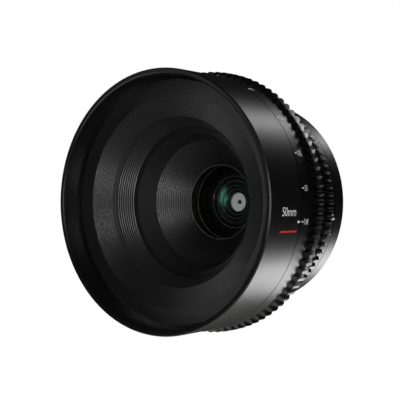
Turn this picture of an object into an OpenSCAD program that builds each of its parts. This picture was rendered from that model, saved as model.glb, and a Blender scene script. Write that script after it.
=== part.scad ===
// Cinema prime lens: geared focus and iris rings, a moving optical block and a three-lug rear bayonet.
// The optical axis is Y and the front faces -Y. The origin is the centre of the mount flange.
// A name that ends in _u is a depth along the axis, measured back from the front rim.

/* [Front bell] */
// Radius of the filter thread inside the front rim
filter_r = 36; // [34:0.1:38]
// Wall between the filter thread and the outside of the bell
rim_wall = 1.5; // [1:0.1:2.5]
// Length of the front bell
bell_length = 15.6; // [15:0.1:20]
// Depth of the filter thread
filter_depth = 7.1; // [5:0.1:7.8]
// Bevel on the edges of the rim
rim_bevel = 0.3; // [0.1:0.05:0.4]

/* [Front baffle] */
// Thickness of the baffle's flange
baffle_t = 1.2; // [0.8:0.1:1.6]
// Width of the flat ribbed band
flat_band = 4.4; // [3:0.1:6]
// Depth of the ribbed cone behind the flat band
cone_rise = 2.5; // [1.5:0.1:3.2]
// Depth of the plain lip behind the cone
lip_rise = 1.2; // [0.5:0.1:2]
// How much the ribbed wall widens from its mouth to the lip
wall_flare = 1.95; // [1:0.05:2.5]
// Ribs on the flat band
flat_ribs = 12; // [4:1:20]
// Ribs on the cone
cone_ribs = 18; // [4:1:24]
// Ribs on the wall
wall_ribs = 10; // [4:1:16]

/* [Focus ring] */
// Width of the plain band that carries the distance scale
focus_band = 5.8; // [4.5:0.1:9]
// Width of the focus gear
focus_gear_w = 5.7; // [4.5:0.1:9]
// Width of the plain tail behind the focus gear
focus_tail = 1.2; // [0.8:0.1:3]
// Module of the focus gear
focus_module = 0.8; // [0.6:0.05:1]
// Turn of the focus ring from near to far, in degrees
focus_throw = 200; // [150:1:240]

/* [Iris ring] */
// Width of the plain skirt in front of the iris gear
iris_skirt = 8.7; // [7:0.1:12]
// Width of the iris gear
iris_gear_w = 5.7; // [4.5:0.1:9]
// Width of the plain band behind the iris gear
iris_band = 2.3; // [1.5:0.1:5]
// Module of the iris gear
iris_module = 0.72; // [0.6:0.02:0.9]
// Turn of the iris ring from closed to open, in degrees
iris_throw = 52; // [40:1:53]

/* [Rear barrel and mount] */
// Length of the rear barrel
rear_length = 4.9; // [4:0.1:9]
// Thickness of the flange shim
shim_t = 0.3; // [0.1:0.05:1]
// Thickness of the mount plate
plate_t = 1.9; // [1.6:0.1:3]
// Wall of the bayonet's register round the passage of the optics
register_wall = 1.1; // [0.8:0.05:2]
// Length of the bayonet's register behind the flange
register_length = 5.5; // [4.5:0.1:8]
// How far the lugs stand out of the register
lug_height = 1.6; // [1:0.1:2]
// Thickness of a lug along the axis
lug_t = 1.8; // [1.2:0.1:2.4]
// Angle that a lug covers, in degrees
lug_span = 50; // [35:1:58]

/* [Optical block] */
// Outer radius of the moving optical barrel
block_r = 22; // [21:0.1:23.4]
// Wall of the optical barrel
block_wall = 1.5; // [1.2:0.1:1.7]
// Travel of the optical block from near to far focus
travel = 6.7; // [6:0.1:7.5]
// Wall of the fixed inner barrel
guide_wall = 2.2; // [1.6:0.1:2.6]
// Wall of the cam sleeve
sleeve_wall = 2.1; // [1.6:0.1:2.6]
// Radius of a cam pin's head
cam_pin_r = 1.25; // [1.1:0.05:1.4]
// Depth of the plain nose in front of the ribbed cone
nose_depth = 6.2; // [4:0.1:7]
// Depth of the ribbed cone in the nose
nose_cone_depth = 8.29; // [6:0.01:9]
// Ribs on that cone
nose_ribs = 15; // [4:1:20]

/* [Glass] */
// Radius of the two front glasses
front_glass_r = 12.4; // [11.5:0.1:13.2]
// Radius of the two rear glasses
rear_glass_r = 12; // [10.5:0.1:13]
// Radius of the front glass's front face
front_curve = 30; // [26:1:60]
// Radius of the front glass's rear face
front_back_curve = 80; // [60:1:120]
// Radius of the second glass's front face
second_curve = 60; // [50:1:80]
// Radius of the second glass's hollow rear face
second_dish_curve = 22; // [20:1:30]
// Radius of the outer faces of the rear glasses
rear_outer_curve = 60; // [45:1:90]
// Radius of the inner faces of the rear glasses
rear_inner_curve = 45; // [40:1:70]
// Edge thickness of the front glass
front_edge = 2.2; // [1.8:0.1:3]
// Edge thickness of the second glass
second_edge = 2.05; // [1.9:0.05:3]

/* [Iris] */
// Radius of the ring of blade pivots
pivot_r = 14.5; // [14.2:0.1:15]
// Radius of the opening when the blades are open
open_r = 3.3; // [2.5:0.1:4]
// Radius of the opening when the blades are closed
closed_r = 0.65; // [0.3:0.05:1]
// Thickness of a blade
blade_t = 0.08; // [0.06:0.02:0.24]
// Thickness of the iris drive ring
drive_t = 2; // [1.8:0.1:3]
// Radius of the smallest step of the stop baffle
stop_r = 2.93; // [2:0.01:3.5]

/* [Fits] */
// Gap between separate pieces that don't touch
part_gap = 0.3; // [0.2:0.05:0.4]
// Gap between neighbouring rings on the outside
ring_gap = 0.3; // [0.2:0.05:0.5]
// Gap round a piece in its seat
seat_gap = 0.05; // [0.02:0.01:0.08]
// Radial gap of a running fit
turn_fit = 0.05; // [0.02:0.01:0.08]

/* [Hidden] */
$fn = 96;
glass_fn = 180;
small_fn = 32;
black = "#1c1c1e";
satin_black = "#2a2a2c";
steel = "#b4b6b8";
brass = "#c2a45a";
glass_tint = "#8fa6b2";
glass_alpha = 0.5;
blade_grey = "#9c9ea2";

// Gears: a pressure angle of 15 degrees on the tooth flanks, with the usual addendum and dedendum
flank_angle = 15;
dedendum = 1.25;
ring_wall = 2;

// Front bell and front baffle
bell_r = filter_r + rim_wall;
baffle_seat_step = 1;
baffle_seat_r = filter_r - baffle_seat_step;
baffle_r = baffle_seat_r - seat_gap;
baffle_back_u = filter_depth + baffle_t;
seat_shoulder = 0.6;
seat_r = baffle_seat_r - seat_shoulder;
ledge_width = 4.2;
ledge_r = seat_r - ledge_width;
ledge_t = 2.6;
guide_flange_t = 3;
guide_flange_inset = 0.4;
guide_flange_end = bell_length - guide_flange_inset;
ledge_back_u = guide_flange_end - guide_flange_t;
ledge_front_u = ledge_back_u - ledge_t;
mouth_gap = 0.15;
mouth_r = block_r + mouth_gap;
lip_r = mouth_r + wall_flare;
lip_flare = 0.5;
baffle_tail_wall = 0.8;
baffle_tail_r = lip_r + baffle_tail_wall;
baffle_reach = 0.9;
baffle_end_u = bell_length + baffle_reach;
flat_rib_depth = 0.12;
cone_rib_depth = 0.15;
wall_rib_depth = 0.25;
nose_rib_depth = 0.35;

// Inner barrel, cam sleeve and focus ring, from the inside out and from the front back
guide_bore = block_r + turn_fit;
guide_r = guide_bore + guide_wall;
guide_flange_gap = 0.2;
guide_flange_r = seat_r - guide_flange_gap;
guide_front_u = baffle_end_u + part_gap;
neck_bore = baffle_tail_r + part_gap;
neck_wall = 1.8;
neck_r = neck_bore + neck_wall;
sleeve_bore = guide_r + turn_fit;
sleeve_r = sleeve_bore + sleeve_wall;
focus_front_u = bell_length + ring_gap;
web_t = 2;
web_gap = 0.4;
web_front_u = max(baffle_end_u, focus_front_u) + web_gap;
web_back_u = web_front_u + web_t;
web_bore = max(neck_r, sleeve_r) + part_gap;
neck_end_u = web_back_u - part_gap;
sleeve_flange_t = 1.8;
sleeve_flange_w = 3;
sleeve_flange_r = web_bore + sleeve_flange_w;
sleeve_screw_r = (web_bore + sleeve_flange_r) / 2;
cam_slot_half = cam_pin_r + turn_fit;
slot_end_room = 0.15;
cam_front_land = 0.5;
cam_back_land = 2.2;
cam_u = web_back_u + sleeve_flange_t + cam_pin_r + cam_front_land;
sleeve_end_u = cam_u + travel + cam_pin_r + cam_back_land;
keeper_front_u = sleeve_end_u + part_gap;
keeper_t = 1.5;
keeper_back_u = keeper_front_u + keeper_t;
bell_screw_r = (ledge_r + seat_r) / 2;
stop_pin_r = 0.9;
stop_circle_r = bell_screw_r;
stop_angle = 30;
stop_pin_root = 1;
stop_groove_gap = 0.15;
stop_groove_half = stop_pin_r + stop_groove_gap;
stop_groove_depth = 1.2;

// Focus ring outside
focus_teeth = round(2 * bell_r / focus_module + dedendum);
focus_pitch_r = focus_teeth * focus_module / 2;
focus_root_r = focus_pitch_r - dedendum * focus_module;
focus_shell_r = focus_root_r - ring_wall;
focus_gear_u = focus_front_u + focus_band;
focus_tail_u = focus_gear_u + focus_gear_w;
focus_end_u = focus_tail_u + focus_tail;
focus_lip_gap = 0.4;
focus_lip_r = sleeve_flange_r + focus_lip_gap;
focus_lip_t = 1.4;

// Iris ring, fork and rear barrel
fork_in_r = guide_r + part_gap;
fork_t = 2.65;
fork_out_r = fork_in_r + fork_t;
rear_tube_bore = fork_out_r + part_gap;
rear_tube_wall = 1.95;
rear_tube_r = rear_tube_bore + rear_tube_wall;
iris_bore = rear_tube_r + turn_fit;
iris_teeth = round(2 * (iris_bore + ring_wall) / iris_module + 2 * dedendum);
iris_pitch_r = iris_teeth * iris_module / 2;
iris_root_r = iris_pitch_r - dedendum * iris_module;
iris_band_step = 0.3;
rear_r = iris_root_r + iris_band_step;
iris_front_u = focus_end_u + ring_gap;
iris_gear_u = iris_front_u + iris_skirt;
iris_band_u = iris_gear_u + iris_gear_w;
iris_end_u = iris_band_u + iris_band;
iris_web_front_u = keeper_back_u + part_gap;
iris_web_t = 2;
iris_web_back_u = iris_web_front_u + iris_web_t;
rear_front_u = iris_end_u + ring_gap;
rear_back_u = rear_front_u + rear_length;
rear_tube_reach = 2.2;
plate_front_u = rear_back_u + shim_t;
flange_u = plate_front_u + plate_t;
guide_end_inset = 0.2;
guide_end_u = rear_back_u - guide_end_inset;
plate_inset = 1.8;
plate_r = rear_r - plate_inset;

// Optical block, from its nose to the rear cell
block_bore = block_r - block_wall;
cell_r = block_bore - seat_gap;
nose_gap = 0.2;
nose_u = baffle_end_u + nose_gap;
nose_lip = 1.4;
throat_step = 1.8;
throat_r = block_bore - throat_step;
throat_u = nose_u + nose_depth;
nose_cone_u = throat_u + seat_gap;
nose_cone_rim = 1.55;
nose_cone_end_u = nose_cone_u + nose_cone_depth;
nose_cone_wall = 1.6;
front_cell_u = nose_cone_u + nose_cone_rim + seat_gap;
front_cell_skirt = 1.25;
front_ring_u = nose_cone_end_u + seat_gap;
front_ring_t = 1.35;
front_ring_overlap = 1.1;
front_ring_wall = 1.15;
nose_cone_step = 0.1;
front_ring_in_r = front_glass_r - front_ring_overlap;
front_ring_out_r = front_glass_r + front_ring_wall;
nose_cone_end_r = front_ring_in_r + nose_cone_step;
front_glass_u = front_ring_u + front_ring_t + seat_gap
    + sag(front_curve, front_glass_r) - sag(front_curve, front_ring_in_r);
lens_spacer_u = front_glass_u + front_edge + seat_gap;
lens_spacer_t = 0.58;
second_glass_u = lens_spacer_u + lens_spacer_t + seat_gap
    + sag(second_curve, front_glass_r) - sag(second_curve, front_ring_in_r);
second_back_u = second_glass_u + second_edge;
second_flat = 2.9;
second_dish_r = front_glass_r - second_flat;
front_ledge_w = 2.2;
front_ledge_r = front_glass_r - front_ledge_w;
front_ledge_t = 0.8;
front_cell_end_u = second_back_u + front_ledge_t;
stop_baffle_inset = 0.1;
stop_baffle_r = front_glass_r - stop_baffle_inset;
stop_step_rise = [0, 1.47, 2.82, 4.07, 5.07];

// Iris: six blades, one to a layer, between the drive ring and the housing
blade_count = 6;
drive_side_gap = 0.15;
drive_in_r = stop_baffle_r + part_gap;
drive_u = front_cell_end_u + drive_side_gap;
drive_end_u = drive_u + drive_t;
blade_clear = 0.25;
layer_gap = 0.03;
layer_pitch = blade_t + layer_gap;
blade_u = drive_end_u + blade_clear;
blade_end_u = blade_u + (blade_count - 1) * layer_pitch + blade_t;
housing_u = blade_end_u + blade_clear;
housing_t = 1.5;
housing_end_u = housing_u + housing_t;
housing_bore = 10.5;
housing_wall = 1.05;
housing_floor = 0.3;
pivot_margin = 1.3;
blade_out_r = pivot_r - pivot_margin;
blade_span = 140;
blade_fan = 3;
blade_heel = 4;
stud_r = 0.5;
stud_arm = 4;
stud_tip_gap = 0.2;
stud_end_gap = 0.3;
tail_r = 1;
tail_root = 1;
stud_gap = 0.1;
slot_half = stud_r + stud_gap;
blade_turn = 2 * asin((open_r - closed_r) / (2 * pivot_r));
drive_pin_r = 0.6;
drive_pin_in_r = 18;
drive_pin_inset = 0.6;
drive_pin_out_r = fork_out_r - drive_pin_inset;
drive_pin_u = (drive_u + drive_end_u) / 2;
drive_pin_angle = 26;
window_margin = 3;
window_gap = 0.1;
fork_slot_half = drive_pin_r + turn_fit;
fork_tine_half = 1.7;
fork_foot_half = 4;
fork_foot_t = 1.5;
fork_screw_side = 2.85;
fork_screw_reach = 1.2;
fork_end_land = 0.2;
fork_end_u = drive_pin_u + travel + drive_pin_r + fork_end_land;
rear_pocket_gap = 0.5;
rear_pocket_u = fork_end_u + rear_pocket_gap;

// Rear cell
rear_cell_u = housing_end_u + seat_gap;
rear_cell_flange_t = 1;
block_end_u = rear_cell_u + rear_cell_flange_t;
rear_ledge_t = 0.8;
rear_ledge_w = 1;
rear_ledge_r = rear_glass_r - rear_ledge_w;
third_glass_u = rear_cell_u + rear_ledge_t + seat_gap;
third_edge = 1.1;
rear_spacer_u = third_glass_u + third_edge + seat_gap;
rear_air_gap = 0.3;
rear_glass_u = third_glass_u + third_edge + 2 * sag(rear_inner_curve, rear_glass_r) + rear_air_gap;
rear_edge = 1;
rear_ring_overlap = 0.8;
rear_ring_in_r = rear_glass_r - rear_ring_overlap;
rear_ring_u = rear_glass_u + rear_edge + seat_gap
    + sag(rear_outer_curve, rear_glass_r) - sag(rear_outer_curve, rear_ring_in_r);
rear_ring_t = 1.2;
rear_cell_end_u = rear_ring_u + rear_ring_t;
block_pass_r = block_r + part_gap;
register_r = block_pass_r + register_wall;
rear_tunnel_step = 0.35;
rear_tunnel_r = cell_r - rear_tunnel_step;
rear_cell_r = rear_tunnel_r - part_gap;
pocket_gap = 0.4;
pocket_end_u = max(flange_u, block_end_u + travel + pocket_gap);

// Bayonet and screws
lug_count = 3;
lug_gap = 2.3;
lug_root = 0.5;
lug_u = flange_u + lug_gap;
lug_angle = 65;
lock_hole_r = 1.6;
lock_hole_depth = 1.2;
mount_screw_count = 4;
mount_screw_offset = 0.5;
mount_screw_r = (register_r + plate_r) / 2 + mount_screw_offset;
mount_screw_angle = 45;
// A screw is listed as its shank radius, head radius and head height
bell_screw = [1, 1.6, 1.2];
sleeve_screw = [0.75, 1.3, 0.9];
fork_screw = [0.5, 0.85, 0.6];
mount_screw = [0.95, 1.7, 1];
head_room = 0.1;
screw_tip_gap = 0.1;
screw_inset = 0.2;
mount_screw_inset = 0.3;
sleeve_hole_floor = 0.4;
bell_screw_count = 6;
sleeve_screw_count = 6;

// Three cam pins, stepped from a shank in the optical barrel to a head in the slots
cam_count = 3;
cam_pin_step = 0.35;
cam_shank_r = cam_pin_r - cam_pin_step;
cam_shank_inset = 0.15;
cam_head_gap = 0.1;
cam_head_inset = 0.2;

// How far a cut runs past the surface that it opens
over_cut = 1;
slot_over_cut = 0.6;

// Height of a spherical cap of the given curve at radius r
function sag(curve, r) = curve - sqrt(curve * curve - r * r);

function polar(r, angle) = [r * cos(angle), r * sin(angle)];

// Angle of one of several pieces spaced evenly round the axis
function turn(i, count) = 360 / count * i;

// Points along a line from one end up to, not including, the other, with V grooves cut to the given depth
function ribbed(from, to, count, depth) =
    let (along = to - from, groove = depth * [along[1], -along[0]] / norm(along))
    [for (i = [0:count - 1]) each [from + along * i / count, from + along * (i + 0.5) / count + groove]];

// Outline of a gear as a closed ring of trapezoid teeth
function gear_outline(teeth, module_size) =
    let (
        pitch_r = teeth * module_size / 2,
        root_r = pitch_r - dedendum * module_size,
        tip_r = pitch_r + module_size,
        half = PI * module_size / 4,
        root_angle = (half + dedendum * module_size * tan(flank_angle)) / root_r * 180 / PI,
        tip_angle = (half - module_size * tan(flank_angle)) / tip_r * 180 / PI
    )
    [for (i = [0:teeth - 1], corner = [[root_r, -root_angle], [tip_r, -tip_angle], [tip_r, tip_angle],
        [root_r, root_angle]]) polar(corner[0], turn(i, teeth) + corner[1])];

// Lays the axis, along which the shapes below are built, on Y with the flange at the origin
module on_axis() {
    translate([0, -flange_u, 0]) rotate([-90, 0, 0]) children();
}

module revolve(points) {
    rotate_extrude() polygon(points);
}

module tube(in_r, out_r, front_u, back_u) {
    revolve([[in_r, front_u], [out_r, front_u], [out_r, back_u], [in_r, back_u]]);
}

// Sector of a tube between two angles
module arc(in_r, out_r, front_u, back_u, from_angle, to_angle) {
    rotate([0, 0, from_angle]) rotate_extrude(angle = to_angle - from_angle)
        polygon([[in_r, front_u], [out_r, front_u], [out_r, back_u], [in_r, back_u]]);
}

// Cylinder that points out from the axis
module spoke(radius, in_r, out_r, angle, u) {
    translate([0, 0, u]) rotate([0, 0, angle]) rotate([0, 90, 0]) translate([0, 0, in_r])
        cylinder(h = out_r - in_r, r = radius, $fn = small_fn);
}

// Cylinder along the axis, at a place off the axis
module peg(radius, place_r, angle, front_u, back_u) {
    place = polar(place_r, angle);
    translate([place[0], place[1], front_u]) cylinder(h = back_u - front_u, r = radius, $fn = small_fn);
}

// Slot with round ends, cut outward through a tube and long along the axis
module axial_slot(half, in_r, out_r, angle, front_u, back_u) {
    spoke(half, in_r, out_r, angle, front_u);
    spoke(half, in_r, out_r, angle, back_u);
    rotate([0, 0, angle]) translate([in_r, -half, front_u])
        cube([out_r - in_r, 2 * half, back_u - front_u]);
}

// Gear teeth with ends bevelled at 45 degrees down to the height of the plain band beside them
module gear_teeth(teeth, module_size, band_r, front_u, back_u) {
    tip_r = teeth * module_size / 2 + module_size;
    bevel = tip_r - band_r;
    intersection() {
        translate([0, 0, front_u]) linear_extrude(height = back_u - front_u)
            polygon(gear_outline(teeth, module_size));
        revolve([[0, front_u], [band_r, front_u], [tip_r, front_u + bevel], [tip_r, back_u - bevel],
            [band_r, back_u], [0, back_u]]);
    }
}

// A screw along the axis, its head in front when facing is 1 and behind when it is -1
module screw(sizes, place_r, angle, head_seat_u, tip_u, facing) {
    head_end_u = head_seat_u - facing * sizes[2];
    peg(sizes[0], place_r, angle, min(head_seat_u, tip_u), max(head_seat_u, tip_u));
    peg(sizes[1], place_r, angle, min(head_seat_u, head_end_u), max(head_seat_u, head_end_u));
}

// Glass with an edge between two depths. A positive curve bulges, a negative one is hollow.
module glass(edge_r, front_u, back_u, front_bulge, back_bulge, back_dish_r) {
    front_sag = sag(abs(front_bulge), edge_r);
    back_sag = sag(abs(back_bulge), back_dish_r);
    low_u = front_bulge > 0 ? front_u - front_sag : front_u;
    high_u = back_bulge > 0 ? back_u + back_sag : back_u;
    difference() {
        intersection() {
            translate([0, 0, low_u]) cylinder(h = high_u - low_u, r = edge_r);
            if (front_bulge > 0)
                translate([0, 0, low_u + front_bulge]) sphere(r = front_bulge, $fn = glass_fn);
            if (back_bulge > 0)
                translate([0, 0, high_u - back_bulge]) sphere(r = back_bulge, $fn = glass_fn);
        }
        if (front_bulge < 0)
            translate([0, 0, front_u + front_sag + front_bulge]) sphere(r = -front_bulge, $fn = glass_fn);
        if (back_bulge < 0)
            translate([0, 0, back_u - back_sag - back_bulge]) sphere(r = -back_bulge, $fn = glass_fn);
    }
}

module front_bell() {
    color(black) on_axis() difference() {
        revolve([
            [filter_r + rim_bevel, 0], [bell_r - rim_bevel, 0], [bell_r, rim_bevel],
            [bell_r, bell_length], [seat_r, bell_length], [seat_r, ledge_back_u],
            [ledge_r, ledge_back_u], [ledge_r, ledge_front_u], [seat_r, ledge_front_u],
            [seat_r, baffle_back_u], [baffle_seat_r, baffle_back_u], [baffle_seat_r, filter_depth],
            [filter_r, filter_depth], [filter_r, rim_bevel]
        ]);
        for (i = [0:bell_screw_count - 1])
            screw_hole(bell_screw, bell_screw_r, turn(i, bell_screw_count), ledge_front_u, ledge_back_u);
    }
}

// Hole for a screw whose head lies flush below a face, down to the given depth
module screw_hole(sizes, place_r, angle, face_u, end_u) {
    toward = sign(end_u - face_u);
    floor_u = face_u + toward * (sizes[2] + head_room);
    past_face_u = face_u - toward * over_cut;
    peg(sizes[0] + seat_gap, place_r, angle, min(past_face_u, end_u + toward * seat_gap),
        max(past_face_u, end_u + toward * seat_gap));
    peg(sizes[1] + head_room, place_r, angle, min(past_face_u, floor_u), max(past_face_u, floor_u));
}

module front_baffle() {
    flat_in = [baffle_r - flat_band, filter_depth];
    cone_end = [lip_r + lip_flare, filter_depth + cone_rise];
    lip_end = [lip_r, filter_depth + cone_rise + lip_rise];
    mouth = [mouth_r, baffle_end_u];
    color(black) on_axis() revolve(concat(
        ribbed([baffle_r, filter_depth], flat_in, flat_ribs, flat_rib_depth),
        ribbed(flat_in, cone_end, cone_ribs, cone_rib_depth),
        [cone_end],
        ribbed(lip_end, mouth, wall_ribs, wall_rib_depth),
        [mouth, [baffle_tail_r, baffle_end_u], [baffle_tail_r, lip_end[1]],
            [flat_in[0], baffle_back_u], [baffle_r, baffle_back_u]]
    ));
}

module inner_barrel() {
    color(satin_black) on_axis() difference() {
        revolve([
            [neck_bore, ledge_back_u], [guide_flange_r, ledge_back_u], [guide_flange_r, guide_flange_end],
            [neck_r, guide_flange_end], [neck_r, neck_end_u], [guide_r, neck_end_u],
            [guide_r, guide_end_u], [guide_bore, guide_end_u], [guide_bore, guide_front_u],
            [neck_bore, guide_front_u]
        ]);
        for (i = [0:bell_screw_count - 1])
            peg(bell_screw[0] + seat_gap, bell_screw_r, turn(i, bell_screw_count), ledge_back_u - over_cut,
                guide_flange_end + over_cut);
        peg(stop_pin_r + seat_gap, stop_circle_r, stop_angle, ledge_back_u + stop_pin_root,
            guide_flange_end + over_cut);
        for (i = [0:cam_count - 1])
            axial_slot(cam_slot_half, guide_bore - over_cut, guide_r + over_cut, turn(i, cam_count),
                cam_u - slot_end_room, cam_u + travel + slot_end_room);
        arc(guide_bore - over_cut, guide_r + over_cut, drive_pin_u - drive_pin_r - part_gap,
            drive_pin_u + travel + drive_pin_r + part_gap, drive_pin_angle - iris_throw - window_margin,
            drive_pin_angle + window_margin);
    }
}

module bell_screws() {
    color(steel) on_axis() for (i = [0:bell_screw_count - 1])
        screw(bell_screw, bell_screw_r, turn(i, bell_screw_count),
            ledge_front_u + bell_screw[2] + head_room, guide_flange_end - screw_inset, 1);
}

module rear_barrel() {
    color(black) on_axis() difference() {
        revolve([
            [rear_tube_bore, rear_front_u - ring_gap - rear_tube_reach],
            [rear_tube_r, rear_front_u - ring_gap - rear_tube_reach], [rear_tube_r, rear_front_u],
            [rear_r, rear_front_u], [rear_r, rear_back_u - rim_bevel], [rear_r - rim_bevel, rear_back_u],
            [guide_r + seat_gap, rear_back_u], [guide_r + seat_gap, rear_pocket_u],
            [rear_tube_bore, rear_pocket_u]
        ]);
        for (i = [0:mount_screw_count - 1])
            peg(mount_screw[0] + seat_gap, mount_screw_r, mount_screw_angle + turn(i, mount_screw_count),
                rear_pocket_u - over_cut, rear_back_u + over_cut);
    }
}

module flange_shim() {
    color(brass) on_axis() difference() {
        tube(guide_r + part_gap, plate_r, rear_back_u, plate_front_u);
        for (i = [0:mount_screw_count - 1])
            peg(mount_screw[0] + part_gap, mount_screw_r, mount_screw_angle + turn(i, mount_screw_count),
                rear_back_u - over_cut, plate_front_u + over_cut);
    }
}

module bayonet_ring() {
    color(steel) on_axis() difference() {
        union() {
            revolve([
                [block_pass_r, plate_front_u], [plate_r, plate_front_u], [plate_r, flange_u],
                [register_r, flange_u], [register_r, flange_u + register_length],
                [rear_tunnel_r, flange_u + register_length], [rear_tunnel_r, pocket_end_u],
                [block_pass_r, pocket_end_u]
            ]);
            for (i = [0:lug_count - 1])
                arc(register_r - lug_root, register_r + lug_height, lug_u, lug_u + lug_t,
                    lug_angle + turn(i, lug_count), lug_angle + turn(i, lug_count) + lug_span);
        }
        for (i = [0:mount_screw_count - 1])
            screw_hole(mount_screw, mount_screw_r, mount_screw_angle + turn(i, mount_screw_count),
                flange_u, plate_front_u);
        peg(lock_hole_r, mount_screw_r, 0, flange_u - lock_hole_depth, flange_u + over_cut);
    }
}

module mount_screws() {
    color(steel) on_axis() for (i = [0:mount_screw_count - 1])
        screw(mount_screw, mount_screw_r, mount_screw_angle + turn(i, mount_screw_count),
            flange_u - mount_screw[2] - head_room, rear_pocket_u + mount_screw_inset, -1);
}

module sleeve_retainer() {
    color(satin_black) on_axis() tube(guide_r + seat_gap, sleeve_r, keeper_front_u, keeper_back_u);
}

module focus_stop_pin() {
    color(steel) on_axis() peg(stop_pin_r, stop_circle_r, stop_angle, ledge_back_u + stop_pin_root,
        web_front_u + stop_groove_depth - part_gap);
}

module focus_ring() {
    color(black) on_axis() difference() {
        union() {
            revolve([
                [focus_shell_r, focus_front_u], [bell_r, focus_front_u], [bell_r, focus_gear_u],
                [focus_root_r, focus_gear_u], [focus_root_r, focus_end_u], [focus_lip_r, focus_end_u],
                [focus_lip_r, focus_end_u - focus_lip_t], [focus_shell_r, focus_end_u - focus_lip_t],
                [focus_shell_r, web_back_u], [web_bore, web_back_u], [web_bore, web_front_u],
                [focus_shell_r, web_front_u]
            ]);
            difference() {
                gear_teeth(focus_teeth, focus_module, bell_r, focus_gear_u, focus_tail_u);
                cylinder(h = 2 * focus_end_u, r = focus_root_r - ring_wall / 2);
            }
        }
        arc(stop_circle_r - stop_groove_half, stop_circle_r + stop_groove_half, web_front_u - over_cut,
            web_front_u + stop_groove_depth, stop_angle - focus_throw - window_margin,
            stop_angle + window_margin);
        for (i = [0:sleeve_screw_count - 1])
            peg(sleeve_screw[0] + seat_gap, sleeve_screw_r, turn(i, sleeve_screw_count),
                web_front_u + sleeve_hole_floor, web_back_u + over_cut);
    }
}

// Slot with round ends that winds round the cam sleeve and carries a cam pin back as the sleeve turns.
// A station is a distance along the slot and the slot's half width there.
module helical_slot(angle) {
    step_angle = 20;
    steps = ceil(focus_throw / step_angle);
    end_angles = [80, 50, 20];
    in_r = sleeve_bore - slot_over_cut;
    out_r = sleeve_r + slot_over_cut;
    mid_r = (sleeve_bore + sleeve_r) / 2;
    slot_length = mid_r * focus_throw * PI / 180;
    slope = travel / slot_length;
    half = cam_slot_half / cos(atan(slope));
    stations = concat(
        [for (end_angle = end_angles) [-slot_end_room - half * sin(end_angle), half * cos(end_angle)]],
        [for (i = [0:steps]) [slot_length * i / steps + slot_end_room * (2 * i / steps - 1), half]],
        [for (i = [len(end_angles) - 1:-1:0])
            [slot_length + slot_end_room + half * sin(end_angles[i]), half * cos(end_angles[i])]]
    );
    corners = [[in_r, -1], [out_r, -1], [out_r, 1], [in_r, 1]];
    count = len(corners);
    points = [for (station = stations, corner = corners)
        let (place = polar(corner[0], angle - station[0] / mid_r * 180 / PI))
        [place[0], place[1], cam_u + slope * station[0] + corner[1] * station[1]]];
    last = len(points) - count;
    sides = [for (i = [0:count:last - count], k = [0:count - 1])
        let (a = i + k, b = i + (k + 1) % count)
        each [[a, a + count, b], [b, a + count, b + count]]];
    near_end = [for (k = [1:count - 2]) [0, k, k + 1]];
    far_end = [for (k = [1:count - 2]) [last, last + k + 1, last + k]];
    polyhedron(points = points, faces = concat(sides, near_end, far_end));
}

module cam_sleeve() {
    color(satin_black) on_axis() difference() {
        revolve([
            [sleeve_bore, web_back_u], [sleeve_flange_r, web_back_u],
            [sleeve_flange_r, web_back_u + sleeve_flange_t], [sleeve_r, web_back_u + sleeve_flange_t],
            [sleeve_r, sleeve_end_u], [sleeve_bore, sleeve_end_u]
        ]);
        for (i = [0:sleeve_screw_count - 1])
            screw_hole(sleeve_screw, sleeve_screw_r, turn(i, sleeve_screw_count),
                web_back_u + sleeve_flange_t, web_back_u);
        for (i = [0:cam_count - 1]) helical_slot(turn(i, cam_count));
    }
}

module focus_ring_screws() {
    color(steel) on_axis() for (i = [0:sleeve_screw_count - 1])
        screw(sleeve_screw, sleeve_screw_r, turn(i, sleeve_screw_count),
            web_back_u + sleeve_flange_t - sleeve_screw[2] - head_room,
            web_front_u + sleeve_hole_floor + screw_tip_gap, -1);
}

module iris_ring() {
    color(black) on_axis() difference() {
        union() {
            revolve([
                [iris_bore, iris_front_u], [iris_root_r, iris_front_u], [iris_root_r, iris_band_u],
                [rear_r, iris_band_u], [rear_r, iris_end_u], [iris_bore, iris_end_u],
                [iris_bore, iris_web_back_u], [guide_r + turn_fit, iris_web_back_u],
                [guide_r + turn_fit, iris_web_front_u], [iris_bore, iris_web_front_u]
            ]);
            difference() {
                gear_teeth(iris_teeth, iris_module, rear_r, iris_gear_u, iris_band_u);
                cylinder(h = 2 * iris_end_u, r = iris_root_r - ring_wall / 2);
            }
        }
        fork_screw_places(iris_web_back_u - fork_screw_reach - screw_tip_gap, iris_web_back_u + over_cut,
            fork_screw[0] + seat_gap);
    }
}

// The two places where the fork is screwed to the iris ring, as pegs of the given radius
module fork_screw_places(front_u, back_u, radius) {
    place_r = (fork_in_r + fork_out_r) / 2;
    for (side = [-1, 1]) rotate([0, 0, drive_pin_angle])
        translate([place_r, side * fork_screw_side, front_u])
            cylinder(h = back_u - front_u, r = radius, $fn = small_fn);
}

module iris_fork() {
    box_depth = 2 * fork_out_r;
    foot_end_u = iris_web_back_u + fork_foot_t;
    color(steel) on_axis() difference() {
        intersection() {
            tube(fork_in_r, fork_out_r, iris_web_back_u, fork_end_u);
            rotate([0, 0, drive_pin_angle]) union() {
                translate([0, -fork_foot_half, iris_web_back_u])
                    cube([box_depth, 2 * fork_foot_half, fork_foot_t]);
                translate([0, -fork_tine_half, iris_web_back_u])
                    cube([box_depth, 2 * fork_tine_half, fork_end_u - iris_web_back_u]);
            }
        }
        rotate([0, 0, drive_pin_angle]) translate([0, -fork_slot_half, foot_end_u])
            cube([box_depth, 2 * fork_slot_half, fork_end_u]);
        fork_screw_places(iris_web_back_u - over_cut, foot_end_u + over_cut, fork_screw[0] + seat_gap);
    }
}

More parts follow.
